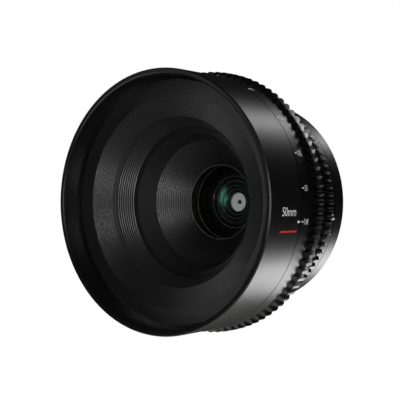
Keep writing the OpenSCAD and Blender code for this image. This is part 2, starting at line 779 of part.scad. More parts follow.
module fork_screws() {
    foot_end_u = iris_web_back_u + fork_foot_t;
    color(steel) on_axis() {
        fork_screw_places(iris_web_back_u - fork_screw_reach, foot_end_u, fork_screw[0]);
        fork_screw_places(foot_end_u, foot_end_u + fork_screw[2], fork_screw[1]);
    }
}

module optical_barrel() {
    color(satin_black) on_axis() difference() {
        revolve([
            [block_r - nose_lip, nose_u], [block_r, nose_u], [block_r, block_end_u],
            [block_bore, block_end_u], [block_bore, throat_u], [throat_r, throat_u]
        ]);
        for (i = [0:cam_count - 1])
            spoke(cam_shank_r + seat_gap, block_bore - over_cut, block_r + over_cut, turn(i, cam_count),
                cam_u);
        arc(block_bore - over_cut, block_r + over_cut, drive_pin_u - drive_pin_r - window_gap,
            drive_pin_u + drive_pin_r + window_gap, drive_pin_angle - iris_throw - window_margin,
            drive_pin_angle + window_margin);
    }
}

module cam_pins() {
    color(brass) on_axis() for (i = [0:cam_count - 1]) {
        spoke(cam_shank_r, block_bore + cam_shank_inset, block_r + cam_head_gap, turn(i, cam_count), cam_u);
        spoke(cam_pin_r, block_r + cam_head_gap, sleeve_r - cam_head_inset, turn(i, cam_count), cam_u);
    }
}

module cone_baffle() {
    throat = [throat_r, nose_cone_u];
    tip = [nose_cone_end_r, nose_cone_end_u];
    rim_back_u = nose_cone_u + nose_cone_rim;
    slope = (throat_r - nose_cone_end_r) / nose_cone_depth;
    color(black) on_axis() revolve(concat(
        [[cell_r, rim_back_u], [cell_r, nose_cone_u]],
        ribbed(throat, tip, nose_ribs, nose_rib_depth),
        [tip, [nose_cone_end_r + nose_cone_wall, nose_cone_end_u],
            [throat_r + nose_cone_wall - slope * nose_cone_rim, rim_back_u]]
    ));
}

module front_cell() {
    color(satin_black) on_axis() revolve([
        [cell_r - front_cell_skirt, front_cell_u], [cell_r, front_cell_u], [cell_r, front_cell_end_u],
        [front_ledge_r, front_cell_end_u], [front_ledge_r, second_back_u],
        [front_glass_r + seat_gap, second_back_u],
        [front_glass_r + seat_gap, front_ring_u + front_ring_t],
        [front_ring_out_r + seat_gap, front_ring_u + front_ring_t],
        [front_ring_out_r + seat_gap, front_ring_u], [cell_r - front_cell_skirt, front_ring_u]
    ]);
}

module front_retainer() {
    color(steel) on_axis() tube(front_ring_in_r, front_ring_out_r, front_ring_u,
        front_ring_u + front_ring_t);
}

module front_element() {
    color(glass_tint, glass_alpha) on_axis() glass(front_glass_r, front_glass_u, front_glass_u + front_edge,
        front_curve, -front_back_curve, front_glass_r);
}

module lens_spacer() {
    color(steel) on_axis() tube(front_ring_in_r, front_glass_r, lens_spacer_u,
        lens_spacer_u + lens_spacer_t);
}

module second_element() {
    color(glass_tint, glass_alpha) on_axis() glass(front_glass_r, second_glass_u, second_back_u,
        second_curve, -second_dish_curve, second_dish_r);
}

// Steps that narrow toward the iris, as the bright rings seen through the front glass
module stop_baffle() {
    step_count = len(stop_step_rise);
    widest_r = stop_r + stop_step_rise[step_count - 1];
    step_t = (drive_end_u - front_cell_end_u) / step_count;
    steps = [for (i = [0:step_count - 1])
        each [[widest_r - stop_step_rise[i], front_cell_end_u + i * step_t],
            [widest_r - stop_step_rise[i], front_cell_end_u + (i + 1) * step_t]]];
    color(satin_black) on_axis() revolve(concat(
        [[stop_baffle_r, drive_end_u], [stop_baffle_r, front_cell_end_u]], steps
    ));
}

module iris_housing() {
    color(satin_black) on_axis() difference() {
        revolve([
            [cell_r - housing_wall, drive_end_u + drive_side_gap], [cell_r, drive_end_u + drive_side_gap],
            [cell_r, housing_end_u], [housing_bore, housing_end_u], [housing_bore, housing_u],
            [cell_r - housing_wall, housing_u]
        ]);
        for (i = [0:blade_count - 1])
            peg(stud_r + turn_fit, pivot_r, turn(i, blade_count), housing_u - over_cut,
                housing_end_u - housing_floor);
    }
}

module rear_cell() {
    color(satin_black) on_axis() revolve([
        [rear_ledge_r, rear_cell_u], [cell_r, rear_cell_u], [cell_r, block_end_u],
        [rear_cell_r, block_end_u], [rear_cell_r, rear_cell_end_u],
        [rear_glass_r + seat_gap, rear_cell_end_u], [rear_glass_r + seat_gap, rear_cell_u + rear_ledge_t],
        [rear_ledge_r, rear_cell_u + rear_ledge_t]
    ]);
}

module third_element() {
    color(glass_tint, glass_alpha) on_axis() glass(rear_glass_r, third_glass_u, third_glass_u + third_edge,
        -rear_outer_curve, rear_inner_curve, rear_glass_r);
}

module rear_spacer() {
    rim_relief = sag(rear_inner_curve, rear_glass_r) - sag(rear_inner_curve, rear_ring_in_r);
    color(satin_black) on_axis() tube(rear_ring_in_r, rear_glass_r, rear_spacer_u + rim_relief,
        rear_glass_u - rim_relief - seat_gap);
}

module rear_element() {
    color(glass_tint, glass_alpha) on_axis() glass(rear_glass_r, rear_glass_u, rear_glass_u + rear_edge,
        rear_inner_curve, rear_outer_curve, rear_glass_r);
}

module rear_retainer() {
    color(satin_black) on_axis() tube(rear_ring_in_r, rear_glass_r, rear_ring_u, rear_ring_u + rear_ring_t);
}

// Place of a blade's drive stud, with its pivot at angle 0, at a share of the way from open to closed
function drive_stud(share) = [pivot_r, 0] + polar(stud_arm, -90 + blade_turn * (share - 0.5));

// Centre line of a drive slot, which turns with the ring while the stud swings with its blade
function slot_path(share) =
    let (stud = drive_stud(share))
    polar(norm(stud), atan2(stud[1], stud[0]) + iris_throw * (1 - share));

module drive_slot() {
    steps = 12;
    path = [for (i = [0:steps]) slot_path(i / steps)];
    sides = [for (i = [0:steps])
        let (
            before = path[max(i - 1, 0)],
            after = path[min(i + 1, steps)],
            along = (after - before) / norm(after - before)
        )
        [-along[1], along[0]] * slot_half];
    outline = concat([for (i = [0:steps]) path[i] + sides[i]],
        [for (i = [steps:-1:0]) path[i] - sides[i]]);
    cut_depth = drive_t + 2 * over_cut;
    translate([0, 0, drive_u - over_cut]) linear_extrude(height = cut_depth) polygon(outline);
    for (end = [path[0], path[steps]])
        translate([end[0], end[1], drive_u - over_cut])
            cylinder(h = cut_depth, r = slot_half, $fn = small_fn);
}

module iris_drive_ring() {
    color(satin_black) on_axis() difference() {
        tube(drive_in_r, block_bore - turn_fit, drive_u, drive_end_u);
        for (i = [0:blade_count - 1]) rotate([0, 0, turn(i, blade_count)]) drive_slot();
        spoke(drive_pin_r + seat_gap, drive_pin_in_r, block_r, drive_pin_angle, drive_pin_u);
    }
}

module iris_drive_pin() {
    color(steel) on_axis()
        spoke(drive_pin_r, drive_pin_in_r, drive_pin_out_r, drive_pin_angle, drive_pin_u);
}

// Flat blade in its own layer, drawn open and turned shut about its pivot
module iris_blade(k) {
    layer_u = blade_u + (k - 1) * layer_pitch;
    stud = drive_stud(0);
    far_r = 2 * blade_out_r;
    fan = [for (i = [0:blade_fan])
        polar(far_r, -blade_heel + (blade_heel + blade_span) * i / blade_fan)];
    color(blade_grey) on_axis() rotate([0, 0, turn(k - 1, blade_count)])
        translate([pivot_r, 0, 0]) rotate([0, 0, blade_turn]) translate([-pivot_r, 0, 0]) {
            difference() {
                union() {
                    intersection() {
                        translate([0, 0, layer_u]) cylinder(h = blade_t, r = blade_out_r);
                        translate([0, 0, layer_u]) linear_extrude(height = blade_t)
                            polygon(concat([[0, 0]], fan));
                    }
                    translate([blade_out_r - tail_root, -tail_r, layer_u])
                        cube([pivot_margin + tail_root, 2 * tail_r, blade_t]);
                    translate([pivot_r, 0, layer_u]) cylinder(h = blade_t, r = tail_r, $fn = small_fn);
                    translate([stud[0], stud[1], layer_u])
                        cylinder(h = blade_t, r = tail_r, $fn = small_fn);
                    translate([pivot_r, 0, layer_u]) rotate([0, 0, -90 - blade_turn / 2])
                        translate([0, -tail_r, 0]) cube([stud_arm, 2 * tail_r, blade_t]);
                }
                translate([0, 0, layer_u - over_cut]) cylinder(h = blade_t + 2 * over_cut, r = open_r);
            }
            translate([pivot_r, 0, layer_u])
                cylinder(h = housing_end_u - housing_floor - stud_tip_gap - layer_u, r = stud_r,
                    $fn = small_fn);
            translate([stud[0], stud[1], drive_u + stud_end_gap])
                cylinder(h = layer_u + blade_t - drive_u - stud_end_gap, r = stud_r, $fn = small_fn);
        }
}

front_bell();
front_baffle();
inner_barrel();
bell_screws();
rear_barrel();
flange_shim();
bayonet_ring();
mount_screws();
sleeve_retainer();
focus_stop_pin();
focus_ring();
cam_sleeve();
focus_ring_screws();
iris_ring();
iris_fork();
fork_screws();
optical_barrel();
cam_pins();
cone_baffle();
front_cell();
front_retainer();
front_element();
lens_spacer();
second_element();
stop_baffle();
iris_housing();
rear_cell();
third_element();
rear_spacer();
rear_element();
rear_retainer();
iris_drive_ring();
iris_drive_pin();
for (k = [1:blade_count]) iris_blade(k);
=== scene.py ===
"""Looks of a cinema prime lens: finishes, turned grooves, glass, scale marks, studio light and camera."""
import math

import bmesh
import bpy
from mathutils import Matrix, Vector


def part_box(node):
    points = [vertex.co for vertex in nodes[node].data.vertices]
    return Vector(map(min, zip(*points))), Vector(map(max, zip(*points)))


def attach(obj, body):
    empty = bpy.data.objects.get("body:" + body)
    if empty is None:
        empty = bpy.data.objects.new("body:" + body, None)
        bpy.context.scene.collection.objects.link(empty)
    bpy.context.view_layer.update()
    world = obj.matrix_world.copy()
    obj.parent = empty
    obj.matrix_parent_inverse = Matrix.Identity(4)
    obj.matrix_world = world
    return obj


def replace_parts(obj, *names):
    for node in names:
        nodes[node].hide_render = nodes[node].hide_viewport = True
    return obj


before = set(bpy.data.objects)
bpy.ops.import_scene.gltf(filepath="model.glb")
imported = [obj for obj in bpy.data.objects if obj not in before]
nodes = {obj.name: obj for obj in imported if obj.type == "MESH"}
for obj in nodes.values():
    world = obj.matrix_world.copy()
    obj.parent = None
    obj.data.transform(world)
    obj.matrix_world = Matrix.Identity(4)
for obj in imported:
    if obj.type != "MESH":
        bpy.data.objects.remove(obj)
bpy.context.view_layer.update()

MM = 0.001

# Places on the lens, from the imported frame. Depths run along +Y, from the front rim to the mount.
BELL_LOW, BELL_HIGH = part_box("front_bell")
REAR_LOW, REAR_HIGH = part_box("rear_barrel")
RIM_Y = BELL_LOW.y
BELL_BACK_Y = BELL_HIGH.y
BELL_R = BELL_HIGH.x
FOCUS_FRONT_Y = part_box("focus_ring")[0].y
IRIS_BACK_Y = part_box("iris_ring")[1].y
REAR_FRONT_Y = REAR_LOW.y
REAR_R = REAR_HIGH.x

# Turned rings as corners (radius, depth behind the rim, grooves up to the next corner, groove depth), in mm
FRONT_BAFFLE = [
    (34.95, 7.1, 12, 0.03), (30.55, 7.1, 18, 0.15), (24.6, 9.6, 0, 0), (24.1, 10.8, 8, 0.09),
    (22.15, 16.5, 0, 0), (24.9, 16.5, 0, 0), (24.9, 10.8, 0, 0), (30.55, 8.3, 0, 0), (34.95, 8.3, 0, 0),
]
CONE_BAFFLE = [
    (20.45, 22.95, 0, 0), (18.7, 22.95, 16, 0.12), (11.4, 31.24, 0, 0), (13.0, 31.24, 0, 0),
    (18.935, 24.5, 0, 0), (20.45, 24.5, 0, 0),
]
# Points along one groove, points round a ring, and how near two points are taken as one
GROOVE_SAMPLES = 8
RING_SIDES = 256
MERGE_DISTANCE = 0.002 * MM

# Front edges of the rings behind the front glass, as (radius, depth behind the rim), in mm. Pale wires on
# them are painted highlights along these edges.
PAINTED_HIGHLIGHT_EDGES = [
    (11.3, 31.29), (11.3, 35.41), (8.0, 39.114), (6.53, 39.544), (5.18, 39.974), (3.93, 40.404),
    (2.93, 40.834),
]
EDGE_WIDTH = 0.12 * MM
EDGE_SIDES = 128
WIRE_SIDES = 8

# Height of the paint that fills the scale marks
PAINT = 0.03 * MM

# Height of a capital letter as a share of the font's size, and steps along each curve of a letter
CAP_SHARE = 0.7
LETTER_STEPS = 3

# Widths of surface patterns in mm, and how far roughness strays to either side of its middle
GRAIN_MM = 0.25
PATCH_MM = 14
TOOTH_MM = 0.2
TOOL_LINE_MM = 0.3
POLISH_SPREAD = 0.04
COAT_SPREAD = 0.06
# Rings that the wave texture draws in one unit, at a scale of one
WAVES_PER_UNIT = 20

# The index marks sit a little below the middle of the side that faces the camera
FOCUS_INDEX = -8.1
IRIS_INDEX = -9.2

# Focus distance in metres and its angle round the ring from the nearest distance, in degrees
FOCUS_SCALE = [
    ("0.48", 0.0), ("0.5", 14.0), ("0.55", 29.0), ("0.6", 46.4), ("0.7", 66.0), ("0.8", 84.0),
    ("0.9", 100.0), ("1", 114.0), ("1.2", 131.0), ("1.5", 148.0), ("2", 163.0), ("3", 178.0),
    ("5", 189.0), ("∞", 200.0),
]
# Aperture numbers from closed to open, spaced evenly over the iris ring's turn
IRIS_SCALE = ["16", "11", "8", "5.6", "4", "2.8", "2"]
IRIS_TURN = 52.0


def linear(hex_colour):
    """Linear RGBA of an sRGB hex colour such as '#1a2b3c', by the numbers of the sRGB standard."""
    shares = [int(hex_colour[i:i + 2], 16) / 255 for i in (1, 3, 5)]
    return [share / 12.92 if share <= 0.04045 else ((share + 0.055) / 1.055) ** 2.4
            for share in shares] + [1.0]


def add(tree, kind, settings=None, values=None, links=None):
    """Adds a node with its settings, its inputs' values and links into its inputs."""
    node = tree.nodes.new(kind)
    for name, value in (settings or {}).items():
        setattr(node, name, value)
    for socket, value in (values or {}).items():
        node.inputs[socket].default_value = value
    for socket, source in (links or {}).items():
        tree.links.new(source, node.inputs[socket])
    return node


def new_material(name):
    """An empty material and its tree, with an output node."""
    material = bpy.data.materials.new(name)
    material.use_nodes = True
    tree = material.node_tree
    tree.nodes.clear()
    output = add(tree, "ShaderNodeOutputMaterial")
    return material, tree, output


def per_metre(size_mm):
    """Texture scale at which one feature of a pattern is about this many millimetres wide."""
    return 1 / (size_mm * MM)


def anodised_barrel():
    """Hard-anodised aluminium, bead-blasted then dyed black: a deep black with a soft satin sheen."""
    material, tree, output = new_material("hard_anodised_aluminium_satin")
    place = add(tree, "ShaderNodeTexCoord")
    # The blasted grain is about 0.05 mm across, drawn at 0.25 mm so that it can show
    grain = add(tree, "ShaderNodeTexNoise", values={"Scale": per_metre(GRAIN_MM), "Detail": 3.0},
                links={"Vector": place.outputs["Object"]})
    # Handling leaves broad soft patches that shine a little more
    patches = add(tree, "ShaderNodeTexNoise", values={"Scale": per_metre(PATCH_MM), "Detail": 2.0},
                  links={"Vector": place.outputs["Object"]})
    sheen = add(tree, "ShaderNodeMapRange",
                values={"From Min": 0.3, "From Max": 0.7, "To Min": 0.31, "To Max": 0.34},
                links={"Value": patches.outputs["Fac"]})
    bump = add(tree, "ShaderNodeBump", values={"Strength": 0.015, "Distance": 0.02 * MM},
               links={"Height": grain.outputs["Fac"]})
    shader = add(tree, "ShaderNodeBsdfPrincipled",
                 values={"Base Color": linear("#070708"), "IOR": 1.6},
                 links={"Roughness": sheen.outputs["Result"], "Normal": bump.outputs["Normal"]})
    tree.links.new(shader.outputs["BSDF"], output.inputs["Surface"])
    return material


def anodised_baffle():
    """Matt black anodised aluminium, left rough from turning so that it swallows stray light."""
    material, tree, output = new_material("matt_black_anodised_aluminium")
    place = add(tree, "ShaderNodeTexCoord")
    # Etched tooth of the surface, about 0.2 mm across
    tooth = add(tree, "ShaderNodeTexNoise", values={"Scale": per_metre(TOOTH_MM), "Detail": 4.0},
                links={"Vector": place.outputs["Object"]})
    dull = add(tree, "ShaderNodeMapRange",
               values={"From Min": 0.3, "From Max": 0.7, "To Min": 0.39, "To Max": 0.44},
               links={"Value": tooth.outputs["Fac"]})
    bump = add(tree, "ShaderNodeBump", values={"Strength": 0.005, "Distance": 0.02 * MM},
               links={"Height": tooth.outputs["Fac"]})
    shader = add(tree, "ShaderNodeBsdfPrincipled",
                 values={"Base Color": linear("#080809"), "IOR": 1.5},
                 links={"Roughness": dull.outputs["Result"], "Normal": bump.outputs["Normal"]})
    tree.links.new(shader.outputs["BSDF"], output.inputs["Surface"])
    return material


def turned_metal(name, colour, roughness):
    """Metal fresh from the lathe: fine circular tool lines round the optical axis."""
    material, tree, output = new_material(name)
    place = add(tree, "ShaderNodeTexCoord")
    # Tool lines about 0.15 mm apart, drawn at 0.3 mm so that they can show
    lines = add(tree, "ShaderNodeTexWave",
                settings={"wave_type": "RINGS", "rings_direction": "Y"},
                values={"Scale": per_metre(TOOL_LINE_MM) / WAVES_PER_UNIT, "Distortion": 0.4, "Detail": 2.0},
                links={"Vector": place.outputs["Object"]})
    polish = add(tree, "ShaderNodeMapRange",
                 values={"To Min": roughness - POLISH_SPREAD, "To Max": roughness + POLISH_SPREAD},
                 links={"Value": lines.outputs["Fac"]})
    bump = add(tree, "ShaderNodeBump", values={"Strength": 0.08, "Distance": 0.01 * MM},
               links={"Height": lines.outputs["Fac"]})
    shader = add(tree, "ShaderNodeBsdfPrincipled",
                 values={"Base Color": linear(colour), "Metallic": 1.0},
                 links={"Roughness": polish.outputs["Result"], "Normal": bump.outputs["Normal"]})
    tree.links.new(shader.outputs["BSDF"], output.inputs["Surface"])
    return material


def coated_glass(name, film_nm):
    """Clear optical glass with a faint coloured mirror from its coating, whose thickness sets the tint.

    Its index is far below that of real glass, so that the rings behind it show where the photo has them.
    """
    material, tree, output = new_material(name)
    shader = add(tree, "ShaderNodeBsdfPrincipled",
                 values={"Base Color": linear("#fbfdfc"), "Roughness": 0.1, "IOR": 1.04,
                         "Transmission Weight": 1.0, "Thin Film Thickness": film_nm,
                         "Thin Film IOR": 1.15})
    # Lamps light what lies behind the glass
    clear = add(tree, "ShaderNodeBsdfTransparent")
    path = add(tree, "ShaderNodeLightPath")
    mix = add(tree, "ShaderNodeMixShader",
              links={0: path.outputs["Is Shadow Ray"], 1: shader.outputs["BSDF"], 2: clear.outputs["BSDF"]})
    tree.links.new(mix.outputs["Shader"], output.inputs["Surface"])
    return material


def uneven_coat(name, dark, light, size_mm, roughness):
    """Dull coat whose tone drifts between two colours over a few tenths of a millimetre."""
    material, tree, output = new_material(name)
    place = add(tree, "ShaderNodeTexCoord")
    drift = add(tree, "ShaderNodeTexNoise", values={"Scale": per_metre(size_mm), "Detail": 2.0},
                links={"Vector": place.outputs["Object"]})
    tint = add(tree, "ShaderNodeMix", settings={"data_type": "RGBA"},
               values={6: linear(dark), 7: linear(light)}, links={0: drift.outputs["Fac"]})
    dull = add(tree, "ShaderNodeMapRange",
               values={"To Min": roughness - COAT_SPREAD, "To Max": roughness + COAT_SPREAD},
               links={"Value": drift.outputs["Fac"]})
    shader = add(tree, "ShaderNodeBsdfPrincipled",
                 links={"Base Color": tint.outputs[2], "Roughness": dull.outputs["Result"]})
    tree.links.new(shader.outputs["BSDF"], output.inputs["Surface"])
    return material


BARREL = anodised_barrel()
BAFFLE = anodised_baffle()
STEEL = turned_metal("turned_stainless_steel", "#b9bbbd", 0.28)
BRASS = turned_metal("turned_brass", "#c9a85a", 0.3)
# The thickness of each film in nanometres was tuned to the tint: magenta, green and red
MAGENTA_GLASS = coated_glass("coated_crown_glass_magenta", 266.0)
GREEN_GLASS = coated_glass("coated_flint_glass_green", 390.0)
RED_GLASS = coated_glass("coated_crown_glass_red", 475.0)
BLADE = uneven_coat("grey_coated_spring_steel", "#b4b5b7", "#c6c7c9", 0.6, 0.6)
# Pale grey of the wires on the ring edges behind the glass: a painted edge highlight
PAINTED_EDGE_HIGHLIGHT = uneven_coat("painted_edge_highlight_grey", "#555557", "#6c6c6e", 0.5, 0.5)
WHITE_PAINT = uneven_coat("white_enamel", "#dededb", "#f0f0ee", 0.4, 0.5)
RED_PAINT = uneven_coat("red_enamel", "#c41c20", "#d82428", 0.4, 0.5)

FINISHES = {
    BARREL: ["front_bell", "focus_ring", "iris_ring", "rear_barrel"],
    BAFFLE: ["front_baffle", "cone_baffle", "stop_baffle", "optical_barrel", "inner_barrel", "cam_sleeve",
             "sleeve_retainer", "front_cell", "front_retainer", "lens_spacer", "iris_housing",
             "rear_cell", "rear_spacer", "rear_retainer", "iris_drive_ring"],
    STEEL: ["bayonet_ring", "bell_screws", "mount_screws", "focus_stop_pin", "focus_ring_screws",
            "iris_fork", "fork_screws", "iris_drive_pin"],
    BRASS: ["flange_shim", "cam_pins"],
    MAGENTA_GLASS: ["front_element"],
    GREEN_GLASS: ["second_element", "rear_element"],
    RED_GLASS: ["third_element"],
    BLADE: [f"iris_blade_{k}" for k in range(1, 7)],
}
for material, names in FINISHES.items():
    for name in names:
        mesh = nodes[name].data
        mesh.materials.clear()
        mesh.materials.append(material)


def on_barrel(radius, depth, angle):
    """Point at a depth and an angle round the axis. Angles rise from the side that faces +X."""
    turn = math.radians(angle)
    return Vector((radius * math.cos(turn), depth, radius * math.sin(turn)))


def keep(name, mesh, body, material):
    """Links a finished mesh as a piece that rides on a body."""
    piece = bpy.data.objects.new(name, mesh)
    bpy.context.scene.collection.objects.link(piece)
    mesh.materials.clear()
    mesh.materials.append(material)
    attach(piece, body)
    return piece


def new_tree(name, inputs):
    """Geometry node group with the named inputs besides its geometry, and its input node."""
    tree = bpy.data.node_groups.new(name, "GeometryNodeTree")
    tree.interface.new_socket("Geometry", in_out="INPUT", socket_type="NodeSocketGeometry")
    for label, kind in inputs.items():
        tree.interface.new_socket(label, in_out="INPUT", socket_type=kind)
    tree.interface.new_socket("Geometry", in_out="OUTPUT", socket_type="NodeSocketGeometry")
    return tree, add(tree, "NodeGroupInput")


def end_tree(tree, given, geometry):
    """Ends a tree: real geometry that wears the finish it was given."""
    real = add(tree, "GeometryNodeRealizeInstances", links={"Geometry": geometry})
    dressed = add(tree, "GeometryNodeSetMaterial",
                  links={"Geometry": real.outputs["Geometry"], "Material": given.outputs["Finish"]})
    add(tree, "NodeGroupOutput", links={"Geometry": dressed.outputs["Geometry"]})


def grown(tree, carrier, wanted):
    """Mesh that a tree makes on a carrier mesh with these inputs."""
    maker = bpy.data.objects.new("maker", carrier)
    bpy.context.scene.collection.objects.link(maker)
    modifier = maker.modifiers.new("grow", "NODES")
    modifier.node_group = tree
    for item in tree.interface.items_tree:
        if item.in_out == "INPUT" and item.name in wanted:
            modifier[item.identifier] = wanted[item.name]
    mesh = bpy.data.meshes.new_from_object(maker.evaluated_get(bpy.context.evaluated_depsgraph_get()))
    bpy.data.objects.remove(maker)
    bpy.data.meshes.remove(carrier)
    return mesh


def groove_tree():
    """Band turned about the Y axis between two points. Round hollows with sharp ridges run round it."""
    tree, given = new_tree("grooved_band", {
        "From": "NodeSocketVector", "To": "NodeSocketVector", "Groove": "NodeSocketVector",
        "Grooves": "NodeSocketInt", "Samples": "NodeSocketInt", "Sides": "NodeSocketInt",
        "Finish": "NodeSocketMaterial"})
    round_count = add(tree, "ShaderNodeMath", settings={"operation": "ADD"}, values={1: 1.0},
                      links={0: given.outputs["Sides"]})
    grid = add(tree, "GeometryNodeMeshGrid", values={"Size X": 1.0, "Size Y": 1.0},
               links={"Vertices X": given.outputs["Samples"], "Vertices Y": round_count.outputs["Value"]})
    place = add(tree, "GeometryNodeInputPosition")
    shifted = add(tree, "ShaderNodeVectorMath", settings={"operation": "ADD"}, values={1: (0.5, 0.5, 0)},
                  links={0: place.outputs["Position"]})
    shares = add(tree, "ShaderNodeSeparateXYZ", links={"Vector": shifted.outputs["Vector"]})
    line = add(tree, "ShaderNodeMix", settings={"data_type": "VECTOR"},
               links={0: shares.outputs["X"], 4: given.outputs["From"], 5: given.outputs["To"]})
    passed = add(tree, "ShaderNodeMath", settings={"operation": "MULTIPLY"},
                 links={0: shares.outputs["X"], 1: given.outputs["Grooves"]})
    phase = add(tree, "ShaderNodeMath", settings={"operation": "MULTIPLY"}, values={1: math.pi},
                links={0: passed.outputs["Value"]})
    wave = add(tree, "ShaderNodeMath", settings={"operation": "SINE"}, links={0: phase.outputs["Value"]})
    sunk = add(tree, "ShaderNodeMath", settings={"operation": "ABSOLUTE"}, links={0: wave.outputs["Value"]})
    dip = add(tree, "ShaderNodeVectorMath", settings={"operation": "SCALE"},
              links={"Vector": given.outputs["Groove"], "Scale": sunk.outputs["Value"]})
    profile = add(tree, "ShaderNodeVectorMath", settings={"operation": "ADD"},
                  links={0: line.outputs[1], 1: dip.outputs["Vector"]})
    turn = add(tree, "ShaderNodeMath", settings={"operation": "MULTIPLY"}, values={1: 2 * math.pi},
               links={0: shares.outputs["Y"]})
    turned = add(tree, "ShaderNodeVectorRotate", settings={"rotation_type": "Y_AXIS"},
                 links={"Vector": profile.outputs["Vector"], "Angle": turn.outputs["Value"]})
    shaped = add(tree, "GeometryNodeSetPosition",
                 links={"Geometry": grid.outputs["Mesh"], "Position": turned.outputs["Vector"]})
    smooth = add(tree, "GeometryNodeSetShadeSmooth", links={"Geometry": shaped.outputs["Geometry"]})
    end_tree(tree, given, smooth.outputs["Geometry"])
    return tree


GROOVES = groove_tree()


def turned_ring(name, corners, node, body, material):
    """Closed ring turned about the optical axis, with grooves, in the place of a node."""
    shape = bmesh.new()
    for i, (radius, depth, grooves, groove_depth) in enumerate(corners):
        end_radius, end_depth = corners[(i + 1) % len(corners)][:2]
        start = Vector((radius * MM, RIM_Y + depth * MM, 0))
        end = Vector((end_radius * MM, RIM_Y + end_depth * MM, 0))
        along = (end - start).normalized()
        band = grown(GROOVES, bpy.data.meshes.new(name), {
            "From": start, "To": end, "Groove": Vector((along.y, -along.x, 0)) * groove_depth * MM,
            "Grooves": grooves, "Samples": max(grooves, 1) * GROOVE_SAMPLES + 1, "Sides": RING_SIDES,
            "Finish": material})
        shape.from_mesh(band)
        bpy.data.meshes.remove(band)
    for edge in shape.edges:
        one, other = (Vector((math.hypot(vert.co.x, vert.co.z), vert.co.y)) for vert in edge.verts)
        # An open edge that runs round the ring is the end of its band, and stays sharp
        if len(edge.link_faces) == 1 and (one - other).length < MERGE_DISTANCE:
            edge.smooth = False
    bmesh.ops.remove_doubles(shape, verts=shape.verts, dist=MERGE_DISTANCE)
    bmesh.ops.recalc_face_normals(shape, faces=shape.faces)
    mesh = bpy.data.meshes.new(name)
    shape.to_mesh(mesh)
    shape.free()
    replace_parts(keep(name, mesh, body, material), node)


def edge_tree():
    """Thin round wires, one on each point of a carrier, at the point's own radius about the Y axis."""
    tree, given = new_tree("edge_wires", {
        "Wire radius": "NodeSocketFloat", "Sides": "NodeSocketInt", "Finish": "NodeSocketMaterial"})
    circle = add(tree, "GeometryNodeCurvePrimitiveCircle", values={"Radius": 1.0},
                 links={"Resolution": given.outputs["Sides"]})
    radius = add(tree, "GeometryNodeInputNamedAttribute", settings={"data_type": "FLOAT"},
                 values={"Name": "radius"})
    placed = add(tree, "GeometryNodeInstanceOnPoints", values={"Rotation": (math.pi / 2, 0, 0)},
                 links={"Points": given.outputs["Geometry"], "Instance": circle.outputs["Curve"],
                        "Scale": radius.outputs["Attribute"]})
    curves = add(tree, "GeometryNodeRealizeInstances", links={"Geometry": placed.outputs["Instances"]})
    section = add(tree, "GeometryNodeCurvePrimitiveCircle", values={"Resolution": WIRE_SIDES},
                  links={"Radius": given.outputs["Wire radius"]})
    wires = add(tree, "GeometryNodeCurveToMesh",
                links={"Curve": curves.outputs["Geometry"], "Profile Curve": section.outputs["Curve"]})
    end_tree(tree, given, wires.outputs["Mesh"])
    return tree


def painted_edge_highlights():
    """Pale grey wires on the edges of the rings behind the glass, a painted highlight along each edge."""
    carrier = bpy.data.meshes.new("edges")
    sunk = EDGE_WIDTH / 4
    carrier.from_pydata([(0, RIM_Y + depth * MM + sunk, 0) for _, depth in PAINTED_HIGHLIGHT_EDGES], [], [])
    radii = carrier.attributes.new("radius", "FLOAT", "POINT")
    for i, (radius, _) in enumerate(PAINTED_HIGHLIGHT_EDGES):
        radii.data[i].value = radius * MM + sunk
    mesh = grown(edge_tree(), carrier,
                 {"Wire radius": EDGE_WIDTH / 2, "Sides": EDGE_SIDES, "Finish": PAINTED_EDGE_HIGHLIGHT})
    keep("painted_edge_highlights", mesh, "optics", PAINTED_EDGE_HIGHLIGHT)


turned_ring("front_baffle_grooves", FRONT_BAFFLE, "front_baffle", "barrel", BAFFLE)
turned_ring("cone_baffle_grooves", CONE_BAFFLE, "cone_baffle", "optics", BAFFLE)
painted_edge_highlights()


def lettering(words, height, stretch):
    """Flat mesh of a word as (points, faces), centred on its height, with its left end at zero."""
    curve = bpy.data.curves.new("word", "FONT")
    curve.body = words
    curve.size = height / CAP_SHARE
    curve.resolution_u = LETTER_STEPS
    flat = bpy.data.objects.new("word", curve)
    bpy.context.scene.collection.objects.link(flat)
    mesh = bpy.data.meshes.new_from_object(flat.evaluated_get(bpy.context.evaluated_depsgraph_get()))
    points = [vertex.co.copy() for vertex in mesh.vertices]
    faces = [list(polygon.vertices) for polygon in mesh.polygons]
    bpy.data.objects.remove(flat)
    bpy.data.curves.remove(curve)
    bpy.data.meshes.remove(mesh)
    left = min(point.x for point in points)
    middle = (min(point.y for point in points) + max(point.y for point in points)) / 2
    return [Vector(((point.x - left) * stretch, point.y - middle, 0)) for point in points], faces


def engraved_words(name, words, height, stretch, radius, body, around=False):
    """Numbers laid on a barrel, each as (text, depth, angle). They read along it, or around it."""
    points = []
    faces = []
    for text, depth, angle in words:
        glyphs, outlines = lettering(text, height, stretch)
        first = len(points)
        for glyph in glyphs:
            if around:
                place = (depth - glyph.y, angle + math.degrees(glyph.x / radius))
            else:
                place = (depth + glyph.x, angle + math.degrees(glyph.y / radius))
            points.append(on_barrel(radius + PAINT, *place))
        faces += [[first + i for i in outline] for outline in outlines]
    mesh = bpy.data.meshes.new(name)
    mesh.from_pydata(points, [], faces)
    mesh.update()
    keep(name, mesh, body, WHITE_PAINT)


